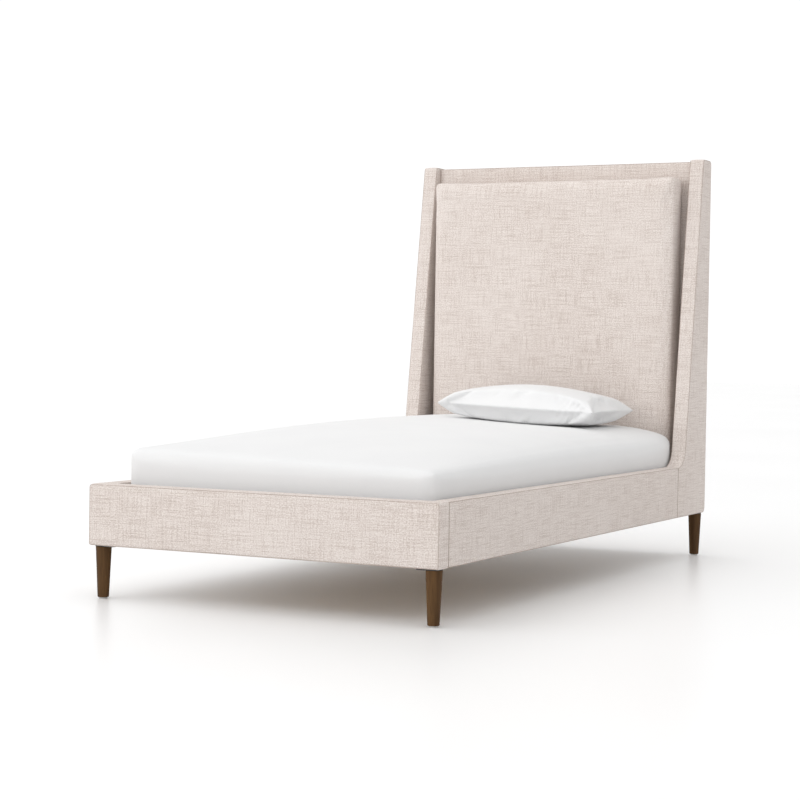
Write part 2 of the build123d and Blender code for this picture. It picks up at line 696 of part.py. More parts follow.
with BuildPart() as leg_plates:
    with BuildSketch(Plane.XY.offset(LEG_TOP)):
        with Locations(*PLATE_CENTRES):
            Rectangle(LEG_PLATE_LENGTH, LEG_PLATE_WIDTH)
    extrude(amount=LEG_PLATE_THICKNESS)
    fillet(leg_plates.edges().filter_by(Axis.Z), LEG_PLATE_THICKNESS * 2)
    plate_middle_z = LEG_TOP + LEG_PLATE_THICKNESS / 2
    bore(
        [(x, y, plate_middle_z) for x, y in PLATE_SCREWS],
        PLATE_SCREW_HEAD_RADIUS + CLEARANCE,
        LEG_PLATE_THICKNESS,
    )
    bore(
        [(x, y, plate_middle_z) for x, y in LEG_CENTRES.values()],
        HANGER_RADIUS + CLEARANCE,
        LEG_PLATE_THICKNESS,
    )
save(leg_plates, "leg_plates")

with BuildPart() as leg_plate_screws:
    pins(
        [(x, y, plate_middle_z) for x, y in PLATE_SCREWS],
        PLATE_SCREW_HEAD_RADIUS,
        LEG_PLATE_THICKNESS,
    )
    pins(
        [(x, y, RAIL_BOTTOM + PLATE_SCREW_LENGTH / 2) for x, y in PLATE_SCREWS],
        PLATE_SCREW_RADIUS,
        PLATE_SCREW_LENGTH,
    )
save(leg_plate_screws, "leg_plate_screws")

with BuildPart() as hanger_bolts:
    pins([(x, y, hanger_middle_z) for x, y in LEG_CENTRES.values()], HANGER_RADIUS, hanger_length)
save(hanger_bolts, "hanger_bolts")

with BuildPart() as leg_glides:
    pins([(x, y, GLIDE_HEIGHT / 2) for x, y in LEG_CENTRES.values()], GLIDE_RADIUS, GLIDE_HEIGHT)
    pins(
        [(x, y, GLIDE_HEIGHT + GLIDE_PIN_LENGTH / 2) for x, y in LEG_CENTRES.values()],
        GLIDE_PIN_RADIUS,
        GLIDE_PIN_LENGTH,
    )
save(leg_glides, "leg_glides")


# ---------------------------------------------------------------- mattress and fitted sheet
def mattress_block(inset):
    """The made-up mattress's whole shape, moved in by inset all round."""
    with BuildPart() as block:
        with BuildSketch(Plane.XY.offset(SLAT_TOP + inset)):
            with Locations((0, MATTRESS_FOOT_Y + MATTRESS_LENGTH / 2)):
                RectangleRounded(
                    2 * (MATTRESS_HALF_WIDTH - inset),
                    MATTRESS_LENGTH - 2 * inset,
                    MATTRESS_CORNER_ROUND - inset,
                )
        extrude(amount=MATTRESS_TOP - SLAT_TOP - 2 * inset)
        fillet(block.faces().sort_by(Axis.Z)[-1].edges(), MATTRESS_TOP_ROUND - inset)
        fillet(block.faces().sort_by(Axis.Z)[0].edges(), MATTRESS_BOTTOM_ROUND - inset)
    return block.part


mattress_core_block = mattress_block(SHEET_THICKNESS)
sheet_block = mattress_block(0)

with BuildPart() as mattress:
    add(mattress_core_block)
save(mattress, "mattress")

with BuildPart() as fitted_sheet:
    add(sheet_block)
    add(mattress_core_block, mode=Mode.SUBTRACT)
    with BuildSketch(Plane.XY.offset(SLAT_TOP)):
        with Locations((0, MATTRESS_FOOT_Y + MATTRESS_LENGTH / 2)):
            RectangleRounded(
                2 * (MATTRESS_HALF_WIDTH - SHEET_HEM),
                MATTRESS_LENGTH - 2 * SHEET_HEM,
                MATTRESS_CORNER_ROUND,
            )
    extrude(amount=SHEET_THICKNESS, mode=Mode.SUBTRACT)
save(fitted_sheet, "fitted_sheet")


# ---------------------------------------------------------------- pillow and its case
def pillow_block(inset):
    """The pillow's whole shape, moved in by inset all round: narrow underside, full rim, narrow crown."""
    levels = (
        (MATTRESS_TOP + PILLOW_LIFT + inset, PILLOW_UNDERSIDE),
        (PILLOW_RIM_Z, PILLOW_RIM),
        (PILLOW_TOP_Z - inset, PILLOW_CROWN),
    )
    with BuildPart() as block:
        for level, (length, width, corner) in levels:
            with BuildSketch(Plane.XY.offset(level)):
                with Locations((PILLOW_X, PILLOW_Y)):
                    RectangleRounded(length - 2 * inset, width - 2 * inset, corner - inset)
        loft()
    return block.part


pillow_fill_block = pillow_block(PILLOWCASE_THICKNESS)
pillowcase_block = pillow_block(0)

with BuildPart() as pillow:
    add(pillow_fill_block)
save(pillow, "pillow")

with BuildPart() as pillowcase:
    add(pillowcase_block)
    add(pillow_fill_block, mode=Mode.SUBTRACT)
save(pillowcase, "pillowcase")
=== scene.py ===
import bpy
import bmesh
import json
import numpy as np
from math import cos, pi, radians, sin
from mathutils import Matrix, Vector, noise
from mathutils.geometry import delaunay_2d_cdt


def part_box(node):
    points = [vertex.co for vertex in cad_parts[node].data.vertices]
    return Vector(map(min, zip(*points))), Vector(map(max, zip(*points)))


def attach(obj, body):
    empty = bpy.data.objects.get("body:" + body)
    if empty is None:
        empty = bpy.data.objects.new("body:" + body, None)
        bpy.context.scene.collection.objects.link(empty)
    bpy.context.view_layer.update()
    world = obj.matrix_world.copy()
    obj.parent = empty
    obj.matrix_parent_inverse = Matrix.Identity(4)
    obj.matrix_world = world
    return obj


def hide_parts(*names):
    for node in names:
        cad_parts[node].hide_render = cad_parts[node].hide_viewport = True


# Upholstered twin bed. Every padded member is a sewn cover of two face panels and a boxing strip round
# its edge; the backrest cushion, the mattress and the pillow are blown up by cloth simulation.
# Metres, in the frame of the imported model: X across the bed, +Y to the headboard, +Z up.

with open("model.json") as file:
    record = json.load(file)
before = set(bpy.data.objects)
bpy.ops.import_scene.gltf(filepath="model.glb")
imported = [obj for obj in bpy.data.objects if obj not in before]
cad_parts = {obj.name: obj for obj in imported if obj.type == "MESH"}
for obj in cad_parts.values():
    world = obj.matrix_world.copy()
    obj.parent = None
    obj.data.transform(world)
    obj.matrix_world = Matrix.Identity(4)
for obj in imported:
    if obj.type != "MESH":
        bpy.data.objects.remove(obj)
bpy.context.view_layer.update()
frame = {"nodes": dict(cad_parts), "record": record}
scene = bpy.context.scene
MM = 0.001


# ---------------------------------------------------------------- material building blocks
class Nodes:
    """A material's node tree, with short calls for the nodes used here."""

    def __init__(self, name):
        self.material = bpy.data.materials.new(name)
        self.material.use_nodes = True
        self.tree = self.material.node_tree
        self.shader = self.tree.nodes["Principled BSDF"]
        self.place = self.tree.nodes.new("ShaderNodeTexCoord").outputs["Object"]

    def link(self, source, target):
        self.tree.links.new(source, target)
        return target

    def make(self, kind, **values):
        node = self.tree.nodes.new(kind)
        for key, value in values.items():
            setattr(node, key, value)
        return node

    def stretch(self, scale, source=None):
        node = self.make("ShaderNodeMapping")
        node.inputs["Scale"].default_value = scale
        self.link(source or self.place, node.inputs["Vector"])
        return node.outputs["Vector"]

    def noise(self, scale, source=None, detail=2.0, rough=0.5):
        node = self.make("ShaderNodeTexNoise")
        node.inputs["Scale"].default_value = scale
        node.inputs["Detail"].default_value = detail
        node.inputs["Roughness"].default_value = rough
        self.link(source or self.place, node.inputs["Vector"])
        return node.outputs["Fac"]

    def math(self, operation, first, second=None, third=None):
        node = self.make("ShaderNodeMath", operation=operation)
        for socket, value in zip(node.inputs, (first, second, third)):
            if value is None:
                continue
            if hasattr(value, "is_output"):
                self.link(value, socket)
            else:
                socket.default_value = value
        return node.outputs[0]

    def remap(self, value, low, high, to_low=0.0, to_high=1.0):
        node = self.make("ShaderNodeMapRange")
        for socket, number in zip(node.inputs[1:5], (low, high, to_low, to_high)):
            socket.default_value = number
        self.link(value, node.inputs[0])
        return node.outputs[0]

    def mix(self, factor, first, second, blend="MIX"):
        node = self.make("ShaderNodeMix", data_type="RGBA", blend_type=blend)
        for socket, value in ((node.inputs[0], factor), (node.inputs[6], first), (node.inputs[7], second)):
            if hasattr(value, "is_output"):
                self.link(value, socket)
            elif isinstance(value, tuple):
                socket.default_value = (*value, 1.0)
            else:
                socket.default_value = value
        return node.outputs[2]

    def bump(self, height, strength, distance, under=None):
        node = self.make("ShaderNodeBump")
        node.inputs["Strength"].default_value = strength
        node.inputs["Distance"].default_value = distance
        self.link(height, node.inputs["Height"])
        if under is not None:
            self.link(under, node.inputs["Normal"])
        return node.outputs["Normal"]

    def finish(self, colour=None, rough=None, normal=None, **uniform):
        for socket, value in (("Base Color", colour), ("Roughness", rough), ("Normal", normal)):
            if value is not None:
                self.link(value, self.shader.inputs[socket])
        for name, value in uniform.items():
            self.shader.inputs[name.replace("_", " ")].default_value = value
        return self.material


FACES_UP = 0.75
FACES_SIDEWAYS = 0.7


def thread_fields(nodes, pitch):
    """Two coordinates that lie in the cloth's plane on whichever side of the object it is, in threads."""
    normal = nodes.make("ShaderNodeNewGeometry").outputs["True Normal"]
    split_normal = nodes.make("ShaderNodeSeparateXYZ")
    nodes.link(normal, split_normal.inputs[0])
    split_place = nodes.make("ShaderNodeSeparateXYZ")
    nodes.link(nodes.place, split_place.inputs[0])
    size_x = nodes.math("ABSOLUTE", split_normal.outputs[0])
    size_z = nodes.math("ABSOLUTE", split_normal.outputs[2])
    faces_up = nodes.math("GREATER_THAN", size_z, FACES_UP)
    faces_side = nodes.math("GREATER_THAN", size_x, FACES_SIDEWAYS)
    across = nodes.make("ShaderNodeMix", data_type="FLOAT")
    nodes.link(faces_side, across.inputs[0])
    nodes.link(split_place.outputs[0], across.inputs[2])
    nodes.link(split_place.outputs[1], across.inputs[3])
    along = nodes.make("ShaderNodeMix", data_type="FLOAT")
    nodes.link(faces_up, along.inputs[0])
    nodes.link(split_place.outputs[2], along.inputs[2])
    nodes.link(split_place.outputs[1], along.inputs[3])
    weft = nodes.math("MULTIPLY", across.outputs[0], 1.0 / pitch)
    warp = nodes.math("MULTIPLY", along.outputs[0], 1.0 / pitch)
    return weft, warp


def weave_height(nodes, weft, warp):
    """A plain weave's surface: threads that pass over and under each other."""
    wave_u = nodes.math("SINE", nodes.math("MULTIPLY", weft, pi))
    wave_v = nodes.math("SINE", nodes.math("MULTIPLY", warp, pi))
    return nodes.math("MULTIPLY", wave_u, wave_v)


def flat_vector(nodes, weft, warp, weft_scale, warp_scale):
    """The cloth's plane as a stretched texture vector."""
    joined = nodes.make("ShaderNodeCombineXYZ")
    nodes.link(nodes.math("MULTIPLY", weft, weft_scale), joined.inputs[0])
    nodes.link(nodes.math("MULTIPLY", warp, warp_scale), joined.inputs[1])
    return joined.outputs[0]


# ---------------------------------------------------------------- materials
LINEN_PITCH = 2.2 * MM


def linen_material(name, cream, taupe, pale):
    """Heathered upholstery linen: slubs along and across, speckled yarn and a coarse plain weave."""
    nodes = Nodes(name)
    weft, warp = thread_fields(nodes, LINEN_PITCH)
    slubs = nodes.noise(1.0, flat_vector(nodes, weft, warp, 0.020, 0.80), detail=2.0, rough=0.6)
    cross_slubs = nodes.noise(1.0, flat_vector(nodes, weft, warp, 0.55, 0.028), detail=2.0, rough=0.6)
    speckle = nodes.noise(1.0, flat_vector(nodes, weft, warp, 0.55, 0.62), detail=1.0, rough=0.6)
    cloudy = nodes.noise(3.0, detail=2.0)
    colour = nodes.mix(nodes.remap(slubs, 0.45, 0.66, 0.0, 0.55), cream, taupe)
    colour = nodes.mix(nodes.remap(cross_slubs, 0.47, 0.68, 0.0, 0.45), colour, taupe)
    colour = nodes.mix(nodes.remap(speckle, 0.50, 0.66, 0.0, 0.55), colour, pale)
    colour = nodes.mix(nodes.remap(speckle, 0.46, 0.30, 0.0, 0.45), colour, taupe)
    colour = nodes.mix(nodes.remap(cloudy, 0.35, 0.7, 0.0, 0.15), colour, pale)
    weave = weave_height(nodes, weft, warp)
    fuzzy = nodes.math("ADD", weave, nodes.math("MULTIPLY", slubs, 1.5))
    normal = nodes.bump(fuzzy, 0.7, 0.45 * MM)
    rough = nodes.remap(speckle, 0.3, 0.7, 0.82, 0.96)
    material = nodes.finish(colour, rough, normal, Sheen_Weight=0.1, Sheen_Roughness=0.5)
    nodes.shader.inputs["Specular IOR Level"].default_value = 0.2
    return material


def cotton_material(name, white, shade):
    """Smooth percale: nearly even white with a fine weave and the faintest drift of tone."""
    nodes = Nodes(name)
    weft, warp = thread_fields(nodes, 0.9 * MM)
    drift = nodes.noise(5.0, detail=3.0)
    threads = nodes.noise(1.0, flat_vector(nodes, weft, warp, 0.9, 0.12), detail=2.0)
    colour = nodes.mix(nodes.remap(drift, 0.35, 0.7, 0.0, 0.5), white, shade)
    creases = nodes.noise(14.0, detail=4.0, rough=0.55)
    normal = nodes.bump(creases, 0.25, 1.2 * MM)
    normal = nodes.bump(nodes.math("ADD", weave_height(nodes, weft, warp), threads), 0.25, 0.12 * MM, normal)
    rough = nodes.remap(threads, 0.3, 0.7, 0.78, 0.9)
    material = nodes.finish(colour, rough, normal, Sheen_Weight=0.1)
    nodes.shader.inputs["Specular IOR Level"].default_value = 0.3
    return material


def wood_material(name, light, dark, grain_axis, rough_low, rough_high, gloss=0.4):
    """Wood with long grain along one axis, broad figure and fine open pores."""
    nodes = Nodes(name)
    long_scale = [1.0, 1.0, 1.0]
    long_scale[grain_axis] = 0.06
    figure = nodes.noise(38.0, nodes.stretch(tuple(long_scale)), detail=4.0, rough=0.55)
    pore_scale = [1.0, 1.0, 1.0]
    pore_scale[grain_axis] = 0.025
    pores = nodes.noise(420.0, nodes.stretch(tuple(pore_scale)), detail=2.0, rough=0.6)
    patches = nodes.noise(9.0, detail=2.0)
    colour = nodes.mix(nodes.remap(figure, 0.32, 0.68), dark, light)
    colour = nodes.mix(nodes.remap(pores, 0.52, 0.72, 0.0, 0.6), colour, dark)
    colour = nodes.mix(nodes.remap(patches, 0.35, 0.7, 0.0, 0.35), colour, light)
    normal = nodes.bump(pores, 0.3, 0.2 * MM)
    rough = nodes.remap(figure, 0.3, 0.7, rough_low, rough_high)
    nodes.shader.inputs["Specular IOR Level"].default_value = gloss
    return nodes.finish(colour, rough, normal)


def metal_material(name, colour_a, colour_b, rough_low, rough_high, metallic, scale):
    """Coated or plated steel: slight mottling and a fine orange-peel or rolled surface."""
    nodes = Nodes(name)
    mottle = nodes.noise(scale, detail=3.0)
    fine = nodes.noise(scale * 9.0, detail=2.0)
    colour = nodes.mix(mottle, colour_a, colour_b)
    rough = nodes.remap(fine, 0.3, 0.7, rough_low, rough_high)
    normal = nodes.bump(fine, 0.2, 0.08 * MM)
    return nodes.finish(colour, rough, normal, Metallic=metallic)


def plastic_material(name, colour_a, colour_b):
    """Cloudy, slightly translucent moulded plastic."""
    nodes = Nodes(name)
    cloud = nodes.noise(160.0, detail=2.0)
    colour = nodes.mix(cloud, colour_a, colour_b)
    rough = nodes.remap(cloud, 0.3, 0.7, 0.25, 0.4)
    return nodes.finish(colour, rough, None, Transmission_Weight=0.35)


def webbing_material(name, dark, light):
    """Woven polypropylene tape with ribs across it."""
    nodes = Nodes(name)
    weft, warp = thread_fields(nodes, 1.4 * MM)
    fleck = nodes.noise(900.0, detail=2.0)
    colour = nodes.mix(nodes.remap(fleck, 0.35, 0.7), dark, light)
    normal = nodes.bump(weave_height(nodes, weft, warp), 0.6, 0.3 * MM)
    rough = nodes.remap(fleck, 0.3, 0.7, 0.6, 0.8)
    return nodes.finish(colour, rough, normal)


LINEN = linen_material("linen_weave", (0.72, 0.65, 0.605), (0.42, 0.33, 0.285), (0.87, 0.82, 0.785))
COTTON = cotton_material("cotton_percale", (0.765, 0.765, 0.765), (0.735, 0.735, 0.74))
TICKING = cotton_material("mattress_ticking", (0.80, 0.80, 0.78), (0.72, 0.72, 0.70))
LEG_WOOD = wood_material("walnut_stain", (0.125, 0.066, 0.026), (0.042, 0.020, 0.008), 2, 0.5, 0.65, 0.12)
SLAT_WOOD = wood_material("planed_pine", (0.62, 0.45, 0.27), (0.44, 0.28, 0.15), 0, 0.5, 0.7)
BOARD_WOOD = wood_material("raw_board", (0.52, 0.38, 0.24), (0.36, 0.24, 0.14), 1, 0.6, 0.8)
BLACK_STEEL = metal_material(
    "black_powder_coat", (0.012, 0.012, 0.013), (0.03, 0.03, 0.03), 0.35, 0.5, 0.0, 120.0
)
ZINC = metal_material("zinc_plate", (0.60, 0.60, 0.58), (0.45, 0.45, 0.44), 0.28, 0.42, 1.0, 90.0)
GLIDE = plastic_material("glide_plastic", (0.78, 0.77, 0.74), (0.66, 0.65, 0.62))
THREAD = webbing_material("seam_thread", (0.38, 0.30, 0.255), (0.52, 0.43, 0.375))
WEBBING = webbing_material("tape_weave", (0.02, 0.02, 0.02), (0.06, 0.06, 0.06))


# ---------------------------------------------------------------- mesh building blocks
def add_piece(name, mesh, material, slot, body, *nodes):
    """Put a finished mesh in the scene, on its body, in place of the CAD nodes it stands for."""
    piece = bpy.data.objects.new(name, mesh)
    scene.collection.objects.link(piece)
    piece.data.materials.clear()
    piece.data.materials.append(material)
    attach(piece, body)
    if nodes:
        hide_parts(*nodes)
    return piece


def mesh_from(name, vertices, faces):
    """A smooth-shaded mesh whose faces all look outwards."""
    mesh = bpy.data.meshes.new(name)
    mesh.from_pydata([tuple(v) for v in vertices], [], faces)
    work = bmesh.new()
    work.from_mesh(mesh)
    bmesh.ops.recalc_face_normals(work, faces=work.faces)
    work.to_mesh(mesh)
    work.free()
    mesh.shade_smooth()
    return mesh


def outline(corners, radii, inset, step=14 * MM, turns=8):
    """A closed outline with rounded corners, moved inwards by inset, with the same points at every inset."""
    corners = np.array(corners, float)
    before = corners - np.roll(corners, 1, axis=0)
    before /= np.linalg.norm(before, axis=1)[:, None]
    after = np.roll(before, -1, axis=0)
    left_before = np.stack([-before[:, 1], before[:, 0]], axis=1)
    left_after = np.stack([-after[:, 1], after[:, 0]], axis=1)
    bend = before[:, 0] * after[:, 1] - before[:, 1] * after[:, 0]
    turn = np.arctan2(np.abs(bend), (before * after).sum(axis=1))
    side = np.sign(bend)

    def tangents(move):
        share = move / (1 + (left_before * left_after).sum(axis=1))
        moved = corners + (left_before + left_after) * share[:, None]
        radius = np.maximum(np.array(radii) - side * move, 0.3 * MM)
        reach = radius * np.tan(turn / 2)
        return moved - before * reach[:, None], moved + after * reach[:, None], radius

    base_start, base_end, _ = tangents(0.0)
    spans = np.linalg.norm(np.roll(base_start, -1, axis=0) - base_end, axis=1)
    start, end, radius = tangents(inset)
    points = []
    for i in range(len(corners)):
        centre = start[i] + left_before[i] * radius[i] * side[i]
        arm = start[i] - centre
        for k in range(turns + 1):
            angle = side[i] * turn[i] * k / turns
            turned = np.array([
                arm[0] * cos(angle) - arm[1] * sin(angle),
                arm[0] * sin(angle) + arm[1] * cos(angle),
            ])
            points.append(centre + turned)
        count = max(1, round(spans[i] / step))
        following = start[(i + 1) % len(corners)]
        for k in range(1, count):
            points.append(end[i] + (following - end[i]) * k / count)
    return np.array(points)


def inside(points, polygon):
    """Which points lie inside a closed polygon."""
    found = np.zeros(len(points), bool)
    first = polygon
    second = np.roll(polygon, -1, axis=0)
    for (x1, y1), (x2, y2) in zip(first, second):
        crosses = (y1 > points[:, 1]) != (y2 > points[:, 1])
        with np.errstate(divide="ignore", invalid="ignore"):
            at = (x2 - x1) * (points[:, 1] - y1) / (y2 - y1) + x1
        found ^= crosses & (points[:, 0] < at)
    return found


def edge_distance(points, polygon):
    """How far each point is from a closed polygon's edge."""
    nearest = np.full(len(points), 1e9)
    for a, b in zip(polygon, np.roll(polygon, -1, axis=0)):
        along = b - a
        length2 = max((along**2).sum(), 1e-12)
        t = np.clip(((points - a) @ along) / length2, 0, 1)
        nearest = np.minimum(nearest, np.linalg.norm(points - (a + t[:, None] * along), axis=1))
    return nearest


def rim_drop(distance, groove, rim):
    """How far a panel's surface has dropped at a distance from its seam."""
    share = np.clip(1 - distance / rim, 0, 1)
    return groove * (1 - np.sqrt(1 - share**2))


def unevenness(point, seed):
    """A slow, small rise and fall, as padding has under its cover."""
    place = Vector(point)
    broad = noise.noise(place * 6.0 + Vector((seed, 0, 0)))
    narrow = noise.noise(place * 19.0 + Vector((0, seed, 0)))
    return 0.7 * MM * broad + 0.25 * MM * narrow


def sewn_member(name, corners, radii, faces_at, to_world, crown, groove=2.0 * MM, rim=4.5 * MM,
                spacing=16 * MM, seed=1.0):
    """A padded member's cover as one closed mesh: two face panels, and a boxing strip round their edge.

    corners and radii give the outline, faces_at the two faces' heights across it, and to_world turns
    (u, v, height) into a place. The panels and the strip roll down into a seam where they meet.
    """
    low, high = faces_at
    depth = high - low
    vertices, quads = [], []

    def add_ring(points, heights):
        first = len(vertices)
        for (u, v), height in zip(points, heights):
            vertices.append(to_world(u, v, height))
        return list(range(first, first + len(points)))

    def bridge(one, other):
        count = len(one)
        for i in range(count):
            j = (i + 1) % count
            quads.append((one[i], one[j], other[j], other[i]))

    steps = np.array([0.0, 0.08, 0.25, 0.55, 1.0]) * rim
    strip_marks = list(groove + steps)
    middle_marks = np.linspace(groove + rim, depth - groove - rim, max(3, int(depth / (9 * MM))))[1:-1]
    marks = strip_marks + list(middle_marks) + [depth - m for m in reversed(strip_marks)]
    strip = []
    for mark in marks:
        from_seam = min(mark, depth - mark) - groove
        swell = crown * 0.6 * (1 - ((mark - depth / 2) / (depth / 2)) ** 2)
        move = float(rim_drop(from_seam, groove, rim)) - swell
        ring = outline(corners, radii, move)
        strip.append(add_ring(ring, np.full(len(ring), low + mark)))
    for one, other in zip(strip, strip[1:]):
        bridge(one, other)

    for seam, face_height, sign in ((strip[0], low, 1), (strip[-1], high, -1)):
        previous = seam
        for step in steps[1:]:
            ring = outline(corners, radii, groove + step)
            drop = float(rim_drop(step, groove, rim))
            current = add_ring(ring, np.full(len(ring), face_height + sign * drop))
            bridge(previous, current)
            previous = current
        inner = outline(corners, radii, groove + rim)
        grid_u = np.arange(inner[:, 0].min() + spacing / 2, inner[:, 0].max(), spacing)
        grid_v = np.arange(inner[:, 1].min() + spacing / 2, inner[:, 1].max(), spacing)
        grid = np.stack(np.meshgrid(grid_u, grid_v), axis=-1).reshape(-1, 2)
        grid = grid[inside(grid, inner)]
        away = edge_distance(grid, inner)
        grid, away = grid[away > spacing * 0.45], away[away > spacing * 0.45]
        swell = crown * (1 - np.exp(-away / (45 * MM)))
        flat = [Vector(p) for p in np.concatenate([inner, grid])]
        border = list(range(len(inner)))
        found = delaunay_2d_cdt(flat, [], [border], 1, 1e-7)
        triangles, origins = found[2], found[3]
        first = len(vertices)
        for (u, v), rise in zip(grid, swell):
            vertices.append(to_world(u, v, face_height - sign * rise))
        index = {}
        for number, origin in enumerate(origins):
            source = origin[0]
            index[number] = previous[source] if source < len(inner) else first + source - len(inner)
        quads.extend(tuple(index[k] for k in triangle) for triangle in triangles)

    mesh = mesh_from(name, vertices, quads)
    normals = [v.normal.copy() for v in mesh.vertices]
    for vertex, normal in zip(mesh.vertices, normals):
        vertex.co += normal * unevenness(vertex.co, seed)
    return mesh


THREAD_RADIUS = 0.6 * MM
THREAD_DEPTH = 1.3 * MM
THREAD_SIDES = 5


def seam_threads(name, corners, radii, faces_at, to_world):
    """The two sewn seams of a member: a thread round each face's edge, lying in its groove."""
    low, high = faces_at
    vertices, faces = [], []
    for height in (low + THREAD_DEPTH, high - THREAD_DEPTH):
        for k in range(THREAD_SIDES):
            angle = 2 * pi * k / THREAD_SIDES
            ring = outline(corners, radii, THREAD_DEPTH + THREAD_RADIUS * cos(angle))
            vertices.extend(to_world(u, v, height + THREAD_RADIUS * sin(angle)) for u, v in ring)
        count = len(ring)
        first = len(vertices) - THREAD_SIDES * count
        for k in range(THREAD_SIDES):
            one = first + k * count
            other = first + (k + 1) % THREAD_SIDES * count
            for i in range(count):
                j = (i + 1) % count
                faces.append((one + i, one + j, other + j, other + i))
    return mesh_from(name, vertices, faces)


def add_member(name, corners, radii, faces_at, to_world, crown, seed, *nodes, spacing=16 * MM):
    """A padded member's cover and its seam threads, in place of the CAD cover and foam."""
    mesh = sewn_member(name, corners, radii, faces_at, to_world, crown, spacing=spacing, seed=seed)
    member = add_piece(name, mesh, LINEN, "linen", "bed_frame", *nodes)
    threads = seam_threads(f"{name}_seams", corners, radii, faces_at, to_world)
    add_piece(f"{name}_seams", threads, THREAD, "linen", "bed_frame")


# ---------------------------------------------------------------- the padded frame
WING_TOP_DEPTH = 84 * MM
WING_LEAN = 0.1365
WING_CURVE = 72 * MM

back_low, back_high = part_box("headboard_cover")
rear_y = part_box("headboard_rear_cover")[1][1]

foot_low, foot_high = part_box("footboard_cover")
add_member(
    "footboard_upholstery",
    (
        (foot_low[0], foot_low[2]),
        (foot_high[0], foot_low[2]),
        (foot_high[0], foot_high[2]),
        (foot_low[0], foot_high[2]),
    ),
    (6 * MM, 6 * MM, 10 * MM, 10 * MM),
    (foot_low[1], foot_high[1]),
    lambda u, v, w: (u, w, v),
    2.0 * MM,
    3.0,
    "footboard_cover", "footboard_foam",
)

for side, seed in (("left", 5.0), ("right", 6.0)):
    rail_low, rail_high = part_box(f"side_rail_cover_{side}")
    add_member(
        f"side_rail_upholstery_{side}",
        (
            (rail_low[1], rail_low[2]),
            (rail_high[1], rail_low[2]),
            (rail_high[1], rail_high[2]),
            (rail_low[1], rail_high[2]),
        ),
        (2 * MM, 2 * MM, 2 * MM, 2 * MM),
        (rail_low[0], rail_high[0]),
        lambda u, v, w: (w, u, v),
        1.6 * MM,
        seed,
        f"side_rail_cover_{side}", f"side_rail_foam_{side}",
    )
    wing_low, wing_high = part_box(f"wing_cover_{side}")
    shoulder = rail_high[2]
    front_at_top = wing_high[1] - WING_TOP_DEPTH
    front_at_shoulder = front_at_top - WING_LEAN * (wing_high[2] - shoulder)
    add_member(
        f"wing_upholstery_{side}",
        (
            (wing_low[1], wing_low[2]),
            (wing_high[1], wing_low[2]),
            (wing_high[1], wing_high[2]),
            (front_at_top, wing_high[2]),
            (front_at_shoulder, shoulder),
            (wing_low[1], shoulder),
        ),
        (2 * MM, 20 * MM, 16 * MM, 13 * MM, WING_CURVE, 1 * MM),
        (wing_low[0], wing_high[0]),
        lambda u, v, w: (w, u, v),
        1.8 * MM,
        seed + 3.0,
        f"wing_cover_{side}", f"wing_foam_{side}",
    )

add_member(
    "headboard_upholstery",
    (
        (back_low[0], back_low[2]),
        (back_high[0], back_low[2]),
        (back_high[0], back_high[2]),
        (back_low[0], back_high[2]),
    ),
    (2 * MM, 2 * MM, 3 * MM, 3 * MM),
    (back_low[1], rear_y),
    lambda u, v, w: (u, w, v),
    1.8 * MM,
    12.0,
    "headboard_cover", "headboard_foam", "headboard_rear_cover",
    spacing=20 * MM,
)


# ---------------------------------------------------------------- simulated soft pieces
def rounded_block(name, low, high, radius, voxel):
    """A closed block with rounded edges, evenly meshed."""
    work = bmesh.new()
    bmesh.ops.create_cube(work, size=1.0)
    for vertex in work.verts:
        vertex.co = Vector([
            low[k] + (vertex.co[k] + 0.5) * (high[k] - low[k]) for k in range(3)
        ])
    bmesh.ops.bevel(work, geom=work.edges[:], offset=radius, segments=6, profile=0.5, affect="EDGES")
    mesh = bpy.data.meshes.new(name)
    work.to_mesh(mesh)
    work.free()
    block = bpy.data.objects.new(name, mesh)
    scene.collection.objects.link(block)
    remesh = block.modifiers.new("even", "REMESH")
    remesh.mode = "VOXEL"
    remesh.voxel_size = voxel
    bake_modifiers(block)
    return block


def bake_modifiers(piece):
    """Apply every modifier to the piece's own mesh."""
    graph = bpy.context.evaluated_depsgraph_get()
    mesh = bpy.data.meshes.new_from_object(piece.evaluated_get(graph))
    piece.modifiers.clear()
    piece.data = mesh


def coordinates(mesh):
    values = np.empty(len(mesh.vertices) * 3)
    mesh.vertices.foreach_get("co", values)
    return values.reshape(-1, 3)


def set_coordinates(mesh, values):
    mesh.vertices.foreach_set("co", values.reshape(-1))
    mesh.update()


def inflate(piece, pressure, frames, cap, stiffness=15.0, mass=0.3):
    """Blow the piece up as cloth, no point further than cap from where it began, and keep the result."""
    start = coordinates(piece.data)
    cloth = piece.modifiers.new("cloth", "CLOTH")
    settings = cloth.settings
    settings.quality = 6
    settings.mass = mass
    settings.tension_stiffness = stiffness
    settings.compression_stiffness = stiffness
    settings.shear_stiffness = stiffness * 0.6
    settings.bending_stiffness = 0.6
    settings.use_pressure = True
    settings.uniform_pressure_force = pressure
    settings.effector_weights.gravity = 0.0
    cloth.collision_settings.use_collision = False
    cloth.point_cache.frame_start = 1
    cloth.point_cache.frame_end = frames
    for number in range(1, frames + 1):
        scene.frame_set(number)
    graph = bpy.context.evaluated_depsgraph_get()
    blown = bpy.data.meshes.new_from_object(piece.evaluated_get(graph))
    end = coordinates(blown)
    piece.modifiers.clear()
    scene.frame_set(1)
    bpy.data.meshes.remove(blown)
    move = end - start
    length = np.linalg.norm(move, axis=1)
    share = np.minimum(1.0, cap / np.maximum(length, 1e-9))
    set_coordinates(piece.data, start + move * share[:, None])


